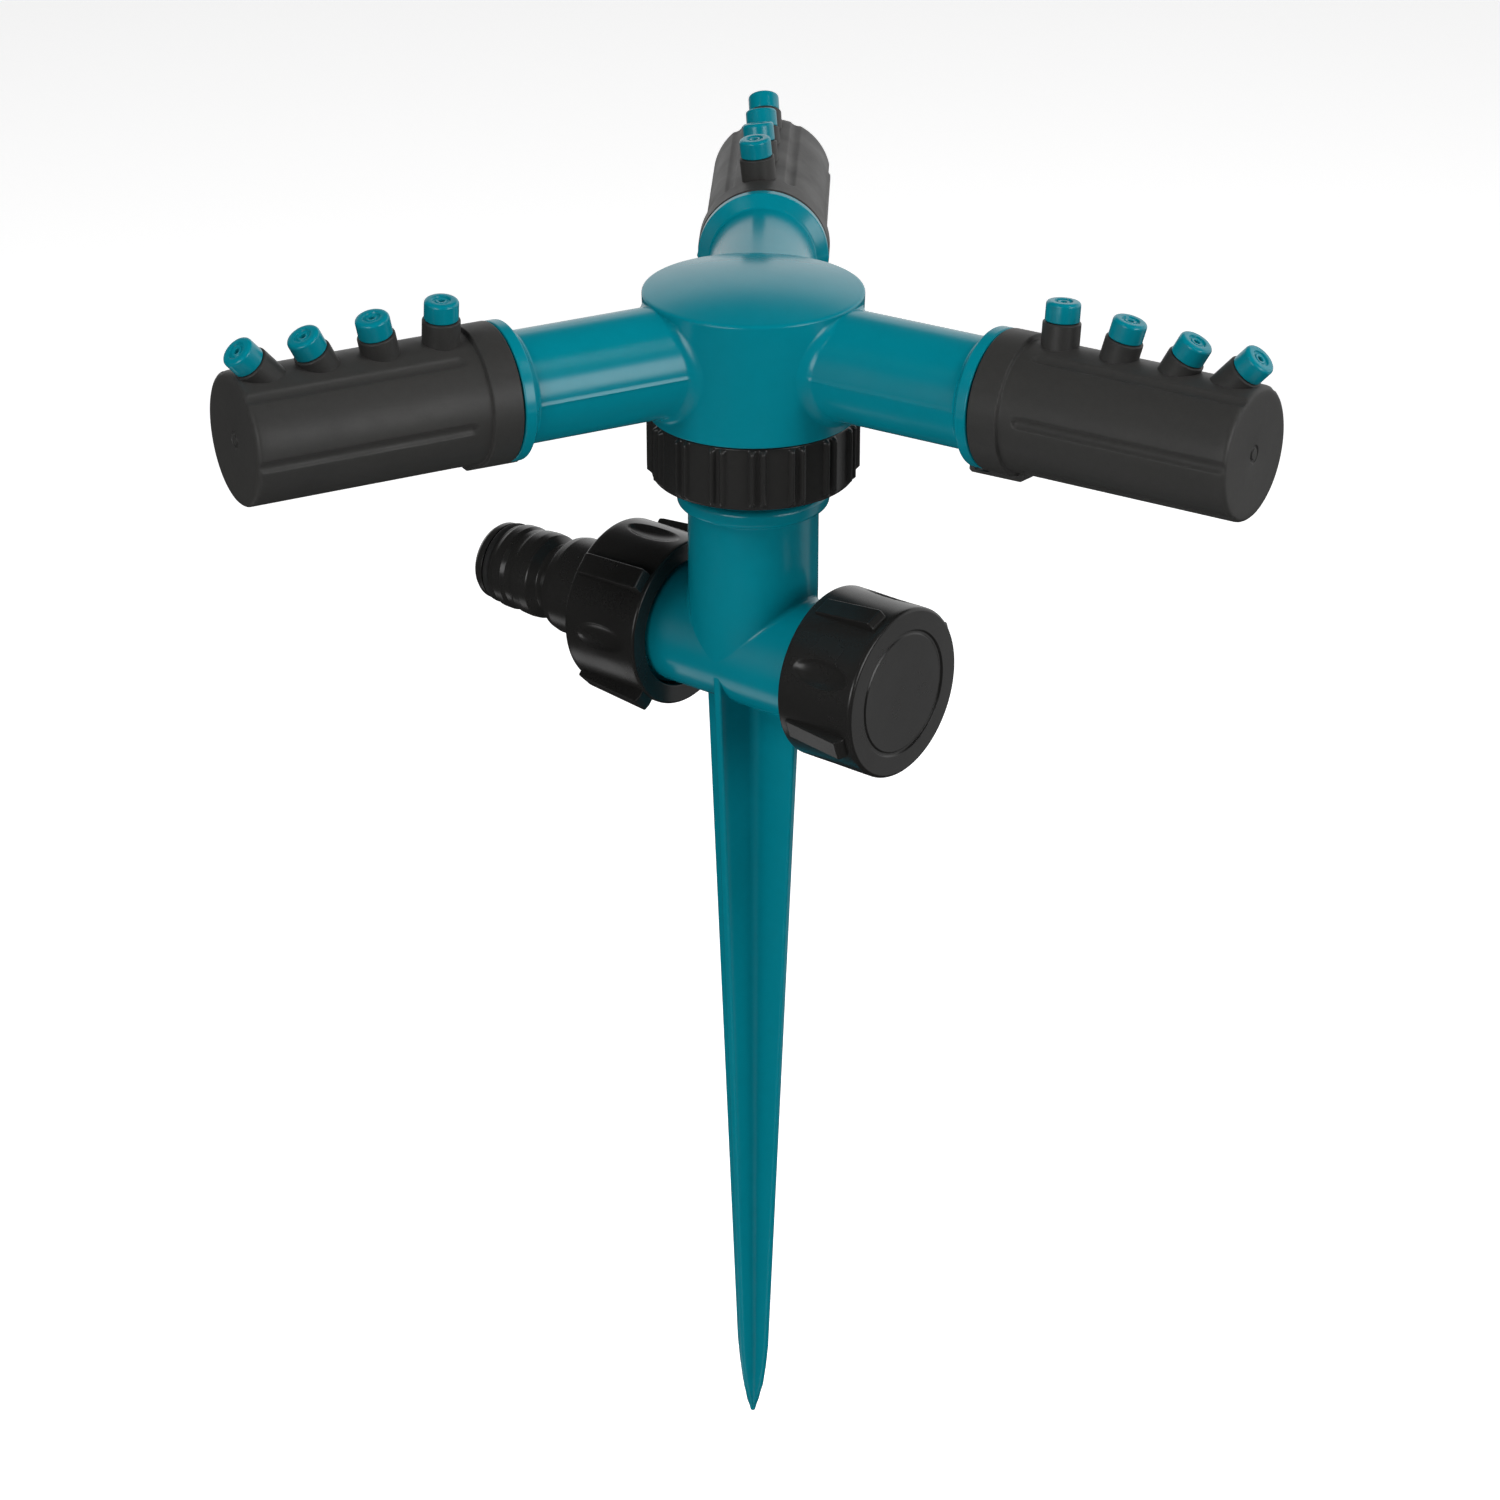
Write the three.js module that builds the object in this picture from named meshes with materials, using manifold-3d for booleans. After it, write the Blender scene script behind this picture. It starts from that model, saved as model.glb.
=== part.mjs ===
// Three-arm rotary lawn sprinkler on a ground spike, in millimetres, +Z up.
// The origin is on the rotor's axis at soil level; the hose pipe runs along X with the hose inlet at -X.
import * as THREE from "three";
import { mergeVertices } from "three/addons/utils/BufferGeometryUtils.js";
import Module from "manifold-3d";

const wasm = await Module();
wasm.setup();

// ---------------------------------------------------------------- fits
const JOIN_GAP = 0.3; // between faces that meet in one moulded assembly
const RUN_GAP = 0.3; // radial room between pieces that turn on each other
const SEAT_GAP = 0.1; // between a small pressed-in piece and its seat
const SLIVER = 0.02; // detail smaller than this is merged after a boolean

// ---------------------------------------------------------------- heights
const PIPE_Z = 22; // hose pipe's axis above the soil
const ARM_Z = 85.3; // arms' axes above the soil
const SPIKE_TIP_Z = -163.2;

// ---------------------------------------------------------------- base: tee and spike
const TUBE_R = 12.9; // riser tube
const TUBE_TOP_Z = 58; // riser's top face
const BEAD_R = 15;
const BEAD_Z = 54.5;
const BEAD_HEIGHT = 3.4;
const RISER_BORE_R = 8;
const PIPE_R = 12.2; // hose pipe, the root of its 3/4 inch hose thread
const PIPE_BORE_R = 9;
const PIPE_END_CAP = 32.4; // end of the pipe under the end cap
const PIPE_END_HOSE = 26.6; // end of the pipe under the union nut
const THREAD_RIDGE_R = 0.75; // half width of a rounded thread ridge
const THREAD_PITCH = 2.2;
const PIPE_THREAD_TURNS = 3;
const FIN_TOP_R = 11.9; // spike fins, half width at the pipe
const FIN_LOW_R = 3.9; // and where the point begins
const FIN_THICK = 2;
const POINT_HEIGHT = 18; // rounded point of the spike
const POINT_SHAPE = [
  // height above the tip and half width of a fin, as shares of the point's
  [0.7, 0.85],
  [0.41, 0.64],
  [0.217, 0.37],
  [0.083, 0.19],
  [0, 0.11],
];
const CORE_R = 3.2; // swelling where the fins meet

// ---------------------------------------------------------------- swivel
const SPINDLE_R = 9;
const SPINDLE_BORE_R = 6.2;
const SPINDLE_PLUG = 12; // length held in the riser
const FLANGE_R = 14;
const FLANGE_THICK = 3;
const WASHER_THICK = 1.2;
const SEAL_THICK = 2;
const PILOT_HEIGHT = 5; // spindle above its flange

// ---------------------------------------------------------------- hub
const HUB_R = 20.6;
const RIM_R = 21.5;
const RIM_RISE = 10.7; // rim's widest circle above the arms' axes
const DOME_RISE = 3.3; // apex above the rim
const HUB_DROP = 13.5; // hub body's lower edge below the arms' axes
const HUB_WALL = 2.6;
const SPIGOT_R = 17; // threaded skirt inside the ring nut
const SPIGOT_DROP = 23.2;
const SHOULDER_DROP = 16.3; // face the seal bears on
const FLOOR_THICK = 4;
const HUB_THREAD_TURNS = 2;

// ---------------------------------------------------------------- ring nut
const NUT_R = 19.9;
const NUT_RIB = 1; // rib height
const NUT_RIBS = 16;
const NUT_RIB_WIDTH = 3;
const NUT_TURN = -3.9; // where the nut's thread stops it, degrees
const NUT_BOTTOM_DROP = 26.6;
const NUT_LIP = 2.6;
const NUT_ROUND = 1.6;

// ---------------------------------------------------------------- arms
const REST_TURN = 6.6; // rotor's rest angle from the hose pipe, degrees
const ARM_NAMES = ["a", "b", "c"];
const ARM_R = 10.8;
const ARM_BORE_R = 8.6;
const RING_R = 13.4; // moulded ring the barrel butts on
const RING_FOOT = 50.6; // start of the ring's cone, from the rotor's axis
const RING_EDGE = 52.2;
const RING_END = 54.4;
const BOSS_R = 10.2; // spigot inside the barrel
const BOSS_BORE_R = 6.6;
const BOSS_END = 64.5;
const SNAP_RISE = 0.5; // snap bead on the spigot
const SNAP_AT = 57.5;
const ORING_AT = 61.5;
const ORING_R = 0.9;

// ---------------------------------------------------------------- barrels
const BARREL_TWIST = 6.2; // lean of the nozzle row, degrees
const BARREL_R = 12.65;
const BARREL_WALL = 2.15;
const COLLAR_R = 13.5;
const COLLAR_END = 60.6;
const BARREL_END = 106.8;
const END_ROUND = 1;
const FLUTE_COUNT = 6;
const FLUTE_R = 1.5;
const FLUTE_DEPTH = 0.55;
const FLUTE_START = 63.6;
const HOOK_WIDTH = 4.6;
const HOOK_THICK = 1.1;
const HOOK_REACH = 50.2; // hook's tip, from the rotor's axis

// ---------------------------------------------------------------- nozzles
const NOZZLES = [
  { at: 65.8, tilt: 0, height: 20.9 },
  { at: 75.1, tilt: 13, height: 20.4 },
  { at: 83.8, tilt: 27, height: 20.8 },
  { at: 90.5, tilt: 41, height: 23.6 },
];
const STEM_R = 3.6;
const STEM_BORE_R = 1.4;
const TIP_R = 3.25;
const TIP_HEIGHT = 3.9;
const PLUG_R = 2.1;
const PLUG_LENGTH = 3;
const RECESS_R = 1.2;
const ORIFICE_R = 0.5;

// ---------------------------------------------------------------- end cap and union nut
const CAP_R = 17.3;
const CAP_START = 19.8; // from the rotor's axis
const CAP_END = 37.5;
const CAP_FACE = 2.4;
const GASKET_THICK = 2;
const NUT_START = 16.9;
const NUT_END = 35.2;
const UNION_LIP = 3;
const MOUTH_R = PIPE_R + THREAD_RIDGE_R + RUN_GAP; // bore, clear of the pipe's thread crests
const GRIP_COUNT = 4;
const GRIP_WIDTH = 4.4;
const CAP_FIRST_GRIP = 20; // degrees from the top, turning toward -Y
const UNION_FIRST_GRIP = 45;
const SCOOP_LENGTH = 12.5;
const SCOOP_WIDTH = 5.6;
const SCOOP_DEPTH = 1.1;

// ---------------------------------------------------------------- hose nipple
const NIPPLE_TIP = 68.4;
const NIPPLE_BORE_R = 5.6;
const NIPPLE_NECK_R = 10.2;
const NIPPLE_FLANGE_R = MOUTH_R - RUN_GAP;
const NIPPLE_FLANGE = 2.2;
const NOSE_ORING_R = 0.9;
const NOSE_ORING_AT = 64.9;

// ---------------------------------------------------------------- materials
const TEAL = new THREE.MeshStandardMaterial({ color: 0x0a7f8c, roughness: 0.3, metalness: 0 });
const BLACK = new THREE.MeshStandardMaterial({ color: 0x1c1c1b, roughness: 0.35, metalness: 0 });
const CHARCOAL = new THREE.MeshStandardMaterial({ color: 0x33322f, roughness: 0.55, metalness: 0 });
const WHITE = new THREE.MeshStandardMaterial({ color: 0xd9d6cb, roughness: 0.4, metalness: 0 });
const RUBBER = new THREE.MeshStandardMaterial({ color: 0x111111, roughness: 0.8, metalness: 0 });

// ---------------------------------------------------------------- helpers
const rad = THREE.MathUtils.degToRad;

function manifoldFrom(positions, triangles) {
  return new wasm.Manifold(
    new wasm.Mesh({ numProp: 3, vertProperties: positions, triVerts: new Uint32Array(triangles) }),
  );
}

// A three.js geometry as a closed solid that faces outwards.
function solid(geometry) {
  const bare = geometry.index ? geometry.toNonIndexed() : geometry.clone();
  bare.deleteAttribute("normal");
  bare.deleteAttribute("uv");
  const merged = mergeVertices(bare, 1e-4);
  const positions = new Float32Array(merged.attributes.position.array);
  const index = merged.index.array;
  const kept = [];
  for (let i = 0; i < index.length; i += 3) {
    const [a, b, c] = [index[i], index[i + 1], index[i + 2]];
    if (a !== b && b !== c && c !== a) kept.push(a, b, c);
  }
  const made = manifoldFrom(positions, kept);
  if (made.volume() > 0) return made;
  for (let i = 0; i < kept.length; i += 3) {
    [kept[i + 1], kept[i + 2]] = [kept[i + 2], kept[i + 1]];
  }
  return manifoldFrom(positions, kept);
}

// A solid as a three.js geometry, with the slivers its booleans left on flat faces merged away.
function geometryOf(shape) {
  const mesh = shape.asOriginal().simplify(SLIVER).getMesh();
  const geometry = new THREE.BufferGeometry();
  geometry.setAttribute("position", new THREE.BufferAttribute(new Float32Array(mesh.vertProperties), 3));
  geometry.setIndex(new THREE.BufferAttribute(new Uint32Array(mesh.triVerts), 1));
  const flat = geometry.toNonIndexed();
  flat.computeVertexNormals();
  return flat;
}

const joined = (...shapes) => shapes.reduce((a, b) => a.add(b));
const cut = (body, ...tools) => tools.reduce((a, b) => a.subtract(b), body);

// Twice the signed area inside a profile, positive when it runs counter-clockwise.
function windingOf(profile) {
  return profile.reduce((sum, [r, h], i) => {
    const [nextR, nextH] = profile[(i + 1) % profile.length];
    return sum + r * nextH - nextR * h;
  }, 0);
}

// A profile of [radius, height] pairs turned about +Z, faces outwards whichever way it runs.
function turned(profile, segments = 32) {
  const ordered = windingOf(profile) > 0 ? profile : [...profile].reverse();
  const points = ordered.map(([r, h]) => new THREE.Vector2(r, h));
  return new THREE.LatheGeometry(points, segments).rotateX(Math.PI / 2);
}

// The same, turned about +X: heights become distances along X.
function turnedX(profile, segments = 32) {
  return turned(profile, segments).rotateY(Math.PI / 2);
}

function ringProfile(inner, outer, low, high) {
  return [
    [inner, low],
    [outer, low],
    [outer, high],
    [inner, high],
    [inner, low],
  ];
}

function rodProfile(radius, low, high) {
  return [
    [0, low],
    [radius, low],
    [radius, high],
    [0, high],
  ];
}

// A round-section ring about +Z.
function toroid(ringR, sectionR, segments, sides) {
  const profile = [];
  for (let i = 0; i <= sides; i += 1) {
    const a = (i / sides) * 2 * Math.PI;
    profile.push([ringR + sectionR * Math.cos(a), sectionR * Math.sin(a)]);
  }
  profile[sides] = [...profile[0]];
  return turned(profile, segments);
}

class Helix extends THREE.Curve {
  constructor(radius, start, turns) {
    super();
    this.radius = radius;
    this.start = start;
    this.turns = turns;
  }

  getPoint(t, target = new THREE.Vector3()) {
    const angle = t * this.turns * 2 * Math.PI;
    const height = this.start + t * this.turns * THREAD_PITCH;
    return target.set(this.radius * Math.cos(angle), this.radius * Math.sin(angle), height);
  }
}

// One rounded thread ridge that climbs along +Z, half sunk in a wall of the given radius.
function thread(wallR, start, turns) {
  const section = new THREE.Shape();
  for (let i = 0; i < 4; i += 1) {
    const a = (i / 4) * 2 * Math.PI;
    const [x, y] = [THREAD_RIDGE_R * Math.cos(a), THREAD_RIDGE_R * Math.sin(a)];
    if (i === 0) section.moveTo(x, y);
    else section.lineTo(x, y);
  }
  return new THREE.ExtrudeGeometry(section, {
    steps: turns * 12,
    extrudePath: new Helix(wallR, start, turns),
    curveSegments: 1,
  });
}

// A flat outline of [x, y] pairs, extruded through the given thickness and centred on its plane.
function plate(outline, thickness) {
  const shape = new THREE.Shape(outline.map(([x, y]) => new THREE.Vector2(x, y)));
  const geometry = new THREE.ExtrudeGeometry(shape, { depth: thickness, bevelEnabled: false });
  return geometry.translate(0, 0, -thickness / 2);
}

const root = new THREE.Group();
root.name = "rotary_sprinkler";

function place(name, geometry, material) {
  const mesh = new THREE.Mesh(geometry, material);
  mesh.name = name;
  root.add(mesh);
}

// ---------------------------------------------------------------- base body: riser, hose pipe and spike
function finOutline() {
  const pointZ = SPIKE_TIP_Z + POINT_HEIGHT;
  const side = [
    [FIN_TOP_R, PIPE_Z],
    [FIN_LOW_R, pointZ],
    ...POINT_SHAPE.map(([height, width]) => [FIN_LOW_R * width, SPIKE_TIP_Z + POINT_HEIGHT * height]),
  ];
  const other = side.map(([x, z]) => [-x, z]).reverse();
  return [...side, ...other];
}

function buildBase() {
  const beadLow = BEAD_Z - BEAD_HEIGHT / 2;
  const beadHigh = BEAD_Z + BEAD_HEIGHT / 2;
  const riser = turned([
    [0, PIPE_Z],
    [TUBE_R, PIPE_Z],
    [TUBE_R, beadLow - 0.5],
    [BEAD_R - 0.7, beadLow],
    [BEAD_R, BEAD_Z - 0.6],
    [BEAD_R, BEAD_Z + 0.6],
    [BEAD_R - 0.7, beadHigh],
    [TUBE_R, beadHigh],
    [TUBE_R, TUBE_TOP_Z],
    [0, TUBE_TOP_Z],
  ]);
  const pipe = turnedX(rodProfile(PIPE_R, -PIPE_END_HOSE, PIPE_END_CAP)).translate(0, 0, PIPE_Z);
  const run = PIPE_THREAD_TURNS * THREAD_PITCH + THREAD_RIDGE_R;
  const capThread = thread(PIPE_R, PIPE_END_CAP - run, PIPE_THREAD_TURNS)
    .rotateY(Math.PI / 2)
    .translate(0, 0, PIPE_Z);
  const hoseThread = thread(PIPE_R, PIPE_END_HOSE - run, PIPE_THREAD_TURNS)
    .rotateY(-Math.PI / 2)
    .translate(0, 0, PIPE_Z);
  const finAlong = plate(finOutline(), FIN_THICK).rotateX(Math.PI / 2);
  const finAcross = finAlong.clone().rotateZ(Math.PI / 2);
  const core = turned(
    [
      [0, SPIKE_TIP_Z + POINT_HEIGHT],
      [CORE_R * 0.45, SPIKE_TIP_Z + POINT_HEIGHT],
      [CORE_R, PIPE_Z - PIPE_R + 1],
      [0, PIPE_Z - PIPE_R + 1],
    ],
    4,
  );
  const riserBore = turned([
    [0, PIPE_Z],
    [RISER_BORE_R, PIPE_Z],
    [RISER_BORE_R, TUBE_TOP_Z - SPINDLE_PLUG],
    [SPINDLE_R + SEAT_GAP, TUBE_TOP_Z - SPINDLE_PLUG],
    [SPINDLE_R + SEAT_GAP, TUBE_TOP_Z + 1],
    [0, TUBE_TOP_Z + 1],
  ]);
  const pipeBore = turnedX(rodProfile(PIPE_BORE_R, -PIPE_END_HOSE - 1, PIPE_END_CAP + 1)).translate(0, 0, PIPE_Z);
  const whole = joined(
    solid(riser),
    solid(pipe),
    solid(capThread),
    solid(hoseThread),
    solid(finAlong),
    solid(finAcross),
    solid(core),
  );
  place("base_body", geometryOf(cut(whole, solid(riserBore), solid(pipeBore))), TEAL);
}

// ---------------------------------------------------------------- swivel: spindle, washer and seal
const FLANGE_TOP_Z = ARM_Z - SHOULDER_DROP - SEAL_THICK - 2 * SEAT_GAP;
const FLANGE_LOW_Z = FLANGE_TOP_Z - FLANGE_THICK;
const WASHER_LOW_Z = FLANGE_LOW_Z - SEAT_GAP - WASHER_THICK;

function buildSwivel() {
  const plugLow = TUBE_TOP_Z - SPINDLE_PLUG + JOIN_GAP;
  const spindle = turned(
    [
      [SPINDLE_BORE_R, plugLow],
      [SPINDLE_R, plugLow],
      [SPINDLE_R, FLANGE_LOW_Z],
      [FLANGE_R, FLANGE_LOW_Z],
      [FLANGE_R, FLANGE_TOP_Z],
      [SPINDLE_R, FLANGE_TOP_Z],
      [SPINDLE_R, FLANGE_TOP_Z + PILOT_HEIGHT],
      [SPINDLE_BORE_R, FLANGE_TOP_Z + PILOT_HEIGHT],
      [SPINDLE_BORE_R, plugLow],
    ],
    28,
  );
  place("swivel_spindle", spindle, WHITE);
  const bore = SPINDLE_R + RUN_GAP;
  const washer = ringProfile(bore, FLANGE_R, WASHER_LOW_Z, WASHER_LOW_Z + WASHER_THICK);
  place("thrust_washer", turned(washer, 28), WHITE);
  const sealLow = FLANGE_TOP_Z + SEAT_GAP;
  place("rotor_seal", turned(ringProfile(bore, FLANGE_R, sealLow, sealLow + SEAL_THICK), 28), RUBBER);
}

// ---------------------------------------------------------------- hub with its three arms
function domeArc(radius, rise, from, steps) {
  const points = [];
  for (let i = 0; i <= steps; i += 1) {
    const u = 1 - i / steps;
    points.push([radius * u, from + rise * (1 - u * u)]);
  }
  return points;
}

function armTurn(index) {
  return rad(REST_TURN + (index * 360) / ARM_NAMES.length);
}

function buildArm() {
  const grooveR = BOSS_R + RUN_GAP - SEAT_GAP - 2 * ORING_R - SEAT_GAP;
  const grooveHalf = ORING_R + SEAT_GAP;
  return turnedX(
    [
      [0, 12],
      [ARM_R, 12],
      [ARM_R, RING_FOOT],
      [RING_R, RING_EDGE],
      [RING_R, RING_END],
      [BOSS_R, RING_END],
      [BOSS_R, SNAP_AT - 1],
      [BOSS_R + SNAP_RISE, SNAP_AT],
      [BOSS_R, SNAP_AT + 1],
      [BOSS_R, ORING_AT - grooveHalf],
      [grooveR, ORING_AT - grooveHalf],
      [grooveR, ORING_AT + grooveHalf],
      [BOSS_R, ORING_AT + grooveHalf],
      [BOSS_R - 0.4, BOSS_END],
      [0, BOSS_END],
    ],
    22,
  );
}

function buildHub() {
  const rimZ = ARM_Z + RIM_RISE;
  const shoulderZ = ARM_Z - SHOULDER_DROP;
  const shell = turned(
    [
      [0, shoulderZ],
      [FLANGE_R + RUN_GAP, shoulderZ],
      [FLANGE_R + RUN_GAP, ARM_Z - SPIGOT_DROP],
      [SPIGOT_R, ARM_Z - SPIGOT_DROP],
      [SPIGOT_R, ARM_Z - HUB_DROP],
      [HUB_R, ARM_Z - HUB_DROP],
      [RIM_R, rimZ],
      ...domeArc(RIM_R - 0.5, DOME_RISE - 0.6, rimZ + 0.6, 4),
    ],
    36,
  );
  const chamber = turned(
    [
      [0, shoulderZ + FLOOR_THICK],
      [HUB_R - HUB_WALL, shoulderZ + FLOOR_THICK],
      [HUB_R - HUB_WALL, rimZ - HUB_WALL],
      [0, rimZ - HUB_WALL + DOME_RISE * 0.6],
    ],
    36,
  );
  const inlet = turned(rodProfile(SPINDLE_R + RUN_GAP, shoulderZ - 1, shoulderZ + FLOOR_THICK + 1), 28);
  const ridge = thread(SPIGOT_R, ARM_Z - SPIGOT_DROP + 1.2, HUB_THREAD_TURNS);
  let hub = joined(solid(shell), solid(ridge));
  const turns = ARM_NAMES.map((_, index) => armTurn(index));
  for (const turn of turns) {
    hub = hub.add(solid(buildArm().rotateZ(turn).translate(0, 0, ARM_Z)));
  }
  hub = cut(hub, solid(chamber), solid(inlet));
  for (const turn of turns) {
    const bore = turnedX(
      [
        [0, 8],
        [ARM_BORE_R, 8],
        [ARM_BORE_R, RING_FOOT],
        [BOSS_BORE_R, RING_END],
        [BOSS_BORE_R, BOSS_END + 1],
        [0, BOSS_END + 1],
      ],
      16,
    );
    hub = hub.subtract(solid(bore.rotateZ(turn).translate(0, 0, ARM_Z)));
  }
  place("hub", geometryOf(hub), TEAL);
}

// ---------------------------------------------------------------- ring nut under the hub
function buildRingNut() {
  const top = ARM_Z - HUB_DROP - JOIN_GAP;
  const bottom = ARM_Z - NUT_BOTTOM_DROP;
  const body = turned(
    [
      [SPINDLE_R + RUN_GAP, bottom],
      [NUT_R - NUT_ROUND, bottom],
      [NUT_R - NUT_ROUND * 0.3, bottom + NUT_ROUND * 0.3],
      [NUT_R, bottom + NUT_ROUND],
      [NUT_R, top],
      [SPIGOT_R + THREAD_RIDGE_R + RUN_GAP, top],
      [SPIGOT_R + THREAD_RIDGE_R + RUN_GAP, bottom + NUT_LIP],
      [SPINDLE_R + RUN_GAP, bottom + NUT_LIP],
      [SPINDLE_R + RUN_GAP, bottom],
    ],
    48,
  );
  let nut = solid(body);
  const outline = [
    [NUT_R - 0.6, bottom + NUT_ROUND * 0.8],
    [NUT_R + NUT_RIB, bottom + NUT_ROUND * 1.6],
    [NUT_R + NUT_RIB, top - 0.5],
    [NUT_R - 0.6, top - 0.2],
  ];
  for (let i = 0; i < NUT_RIBS; i += 1) {
    const rib = plate(outline, NUT_RIB_WIDTH)
      .rotateX(Math.PI / 2)
      .rotateZ(rad(NUT_TURN + (i * 360) / NUT_RIBS));
    nut = nut.add(solid(rib));
  }
  place("ring_nut", geometryOf(nut), BLACK);
}

// ---------------------------------------------------------------- barrels, nozzle tips and arm O-rings
// Local frame of a barrel: its axis along +X through the origin, nozzles towards +Z.
function placeOnArm(name, geometry, material, index) {
  geometry.rotateX(-rad(BARREL_TWIST));
  geometry.rotateZ(armTurn(index));
  geometry.translate(0, 0, ARM_Z);
  place(name, geometry, material);
}

function alongNozzle(geometry, nozzle) {
  return geometry.rotateY(rad(nozzle.tilt)).translate(nozzle.at, 0, 0);
}

function barrelSolid() {
  const start = RING_END + JOIN_GAP;
  const bore = BOSS_R + RUN_GAP;
  let barrel = solid(
    turnedX(
      [
        [0, start],
        [COLLAR_R, start],
        [COLLAR_R, COLLAR_END],
        [BARREL_R, COLLAR_END + 0.3],
        [BARREL_R, BARREL_END - END_ROUND],
        [BARREL_R - END_ROUND * 0.3, BARREL_END - END_ROUND * 0.3],
        [BARREL_R - END_ROUND, BARREL_END],
        [0, BARREL_END - 0.2],
      ],
      30,
    ),
  );
  for (let i = 0; i < FLUTE_COUNT; i += 1) {
    const flute = turnedX(rodProfile(FLUTE_R, FLUTE_START, BARREL_END + 1), 8)
      .translate(0, 0, BARREL_R + FLUTE_R - FLUTE_DEPTH)
      .rotateX(rad(((i + 0.5) * 360) / FLUTE_COUNT));
    barrel = barrel.subtract(solid(flute));
  }
  for (const nozzle of NOZZLES) {
    const stem = turned(rodProfile(STEM_R, 6, nozzle.height - TIP_HEIGHT), 14);
    barrel = barrel.add(solid(alongNozzle(stem, nozzle)));
  }
  const inside = turnedX(
    [
      [0, start - 1],
      [bore, start - 1],
      [bore, SNAP_AT - 1.5],
      [bore + SNAP_RISE, SNAP_AT - 0.5],
      [bore + SNAP_RISE, SNAP_AT + 0.5],
      [bore, SNAP_AT + 1.5],
      [bore, BARREL_END - BARREL_WALL - 0.6],
      [bore - 0.6, BARREL_END - BARREL_WALL],
      [0, BARREL_END - BARREL_WALL],
    ],
    20,
  );
  barrel = barrel.subtract(solid(inside));
  for (const nozzle of NOZZLES) {
    const top = nozzle.height - TIP_HEIGHT;
    const passage = turned(
      [
        [0, 7],
        [STEM_BORE_R, 7],
        [STEM_BORE_R, top - PLUG_LENGTH - JOIN_GAP],
        [PLUG_R + SEAT_GAP, top - PLUG_LENGTH - JOIN_GAP],
        [PLUG_R + SEAT_GAP, top + 1],
        [0, top + 1],
      ],
      10,
    );
    barrel = barrel.subtract(solid(alongNozzle(passage, nozzle)));
  }
  const under = COLLAR_R - 0.5;
  const over = COLLAR_R + HOOK_THICK - 0.3;
  const hook = plate(
    [
      [COLLAR_END, -under],
      [start + 0.1, -under],
      [start - 0.5, -RING_R - JOIN_GAP],
      [HOOK_REACH + 1.3, -RING_R - JOIN_GAP],
      [HOOK_REACH + 0.9, -RING_R + 0.6],
      [HOOK_REACH, -RING_R + 0.6],
      [HOOK_REACH, -over + 0.4],
      [HOOK_REACH + 0.5, -over],
      [COLLAR_END, -over],
    ],
    HOOK_WIDTH,
  ).rotateX(Math.PI / 2);
  return barrel.add(solid(hook));
}

function buildBarrels() {
  const barrel = barrelSolid();
  ARM_NAMES.forEach((arm, index) => {
    placeOnArm(`barrel_${arm}`, geometryOf(barrel), CHARCOAL, index);
    NOZZLES.forEach((nozzle, row) => {
      const low = nozzle.height - TIP_HEIGHT + SEAT_GAP;
      const tip = turned(
        [
          [ORIFICE_R, low - PLUG_LENGTH],
          [PLUG_R, low - PLUG_LENGTH],
          [PLUG_R, low],
          [TIP_R, low],
          [TIP_R, nozzle.height - 0.5],
          [TIP_R - 0.5, nozzle.height],
          [RECESS_R, nozzle.height],
          [ORIFICE_R, nozzle.height - 1.4],
          [ORIFICE_R, low - PLUG_LENGTH],
        ],
        10,
      );
      placeOnArm(`nozzle_tip_${arm}${row + 1}`, alongNozzle(tip, nozzle), TEAL, index);
    });
    const ringR = BOSS_R + RUN_GAP - SEAT_GAP - ORING_R;
    const oring = toroid(ringR, ORING_R, 18, 5).rotateY(Math.PI / 2).translate(ORING_AT, 0, 0);
    placeOnArm(`arm_oring_${arm}`, oring, RUBBER, index);
  });
}

// ---------------------------------------------------------------- end cap and union nut
// Both are built along +X from the mouth to the far end, then placed.
function gripped(body, firstAngle, low, high, rise) {
  let gripper = body;
  for (let i = 0; i < GRIP_COUNT; i += 1) {
    const angle = firstAngle + (i * 360) / GRIP_COUNT;
    const rib = plate(
      [
        [low - 0.6, CAP_R - 1],
        [low, CAP_R + rise[0]],
        [high - 1, CAP_R + rise[1]],
        [high, CAP_R - 1],
      ],
      GRIP_WIDTH,
    )
      .rotateX(Math.PI / 2)
      .rotateX(rad(angle));
    gripper = gripper.add(solid(rib));
    const scoop = new THREE.SphereGeometry(1, 12, 8)
      .scale(SCOOP_LENGTH / 2, SCOOP_WIDTH / 2, SCOOP_DEPTH + 0.35)
      .translate((low + high) / 2, 0, CAP_R + 0.1)
      .rotateX(rad(angle + 180 / GRIP_COUNT));
    gripper = gripper.subtract(solid(scoop));
  }
  return gripper;
}

function buildEndCap() {
  const body = turnedX(
    [
      [0, CAP_END - CAP_FACE],
      [MOUTH_R, CAP_END - CAP_FACE],
      [MOUTH_R, CAP_START],
      [CAP_R - 0.4, CAP_START],
      [CAP_R, CAP_START + 0.5],
      [CAP_R, CAP_END - 0.8],
      [CAP_R - 0.8, CAP_END],
      [12.6, CAP_END],
      [12.3, CAP_END - 0.3],
      [0, CAP_END - 0.3],
    ],
    40,
  );
  const cap = gripped(solid(body), CAP_FIRST_GRIP, CAP_START + 2, CAP_END - 1.5, [0.4, 1.9]);
  place("end_cap", geometryOf(cap).translate(0, 0, PIPE_Z), BLACK);
  const seat = CAP_END - CAP_FACE - SEAT_GAP;
  const gasket = turnedX(ringProfile(PIPE_BORE_R, MOUTH_R - RUN_GAP, seat - GASKET_THICK, seat), 28);
  place("cap_gasket", gasket.translate(0, 0, PIPE_Z), RUBBER);
}

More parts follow.
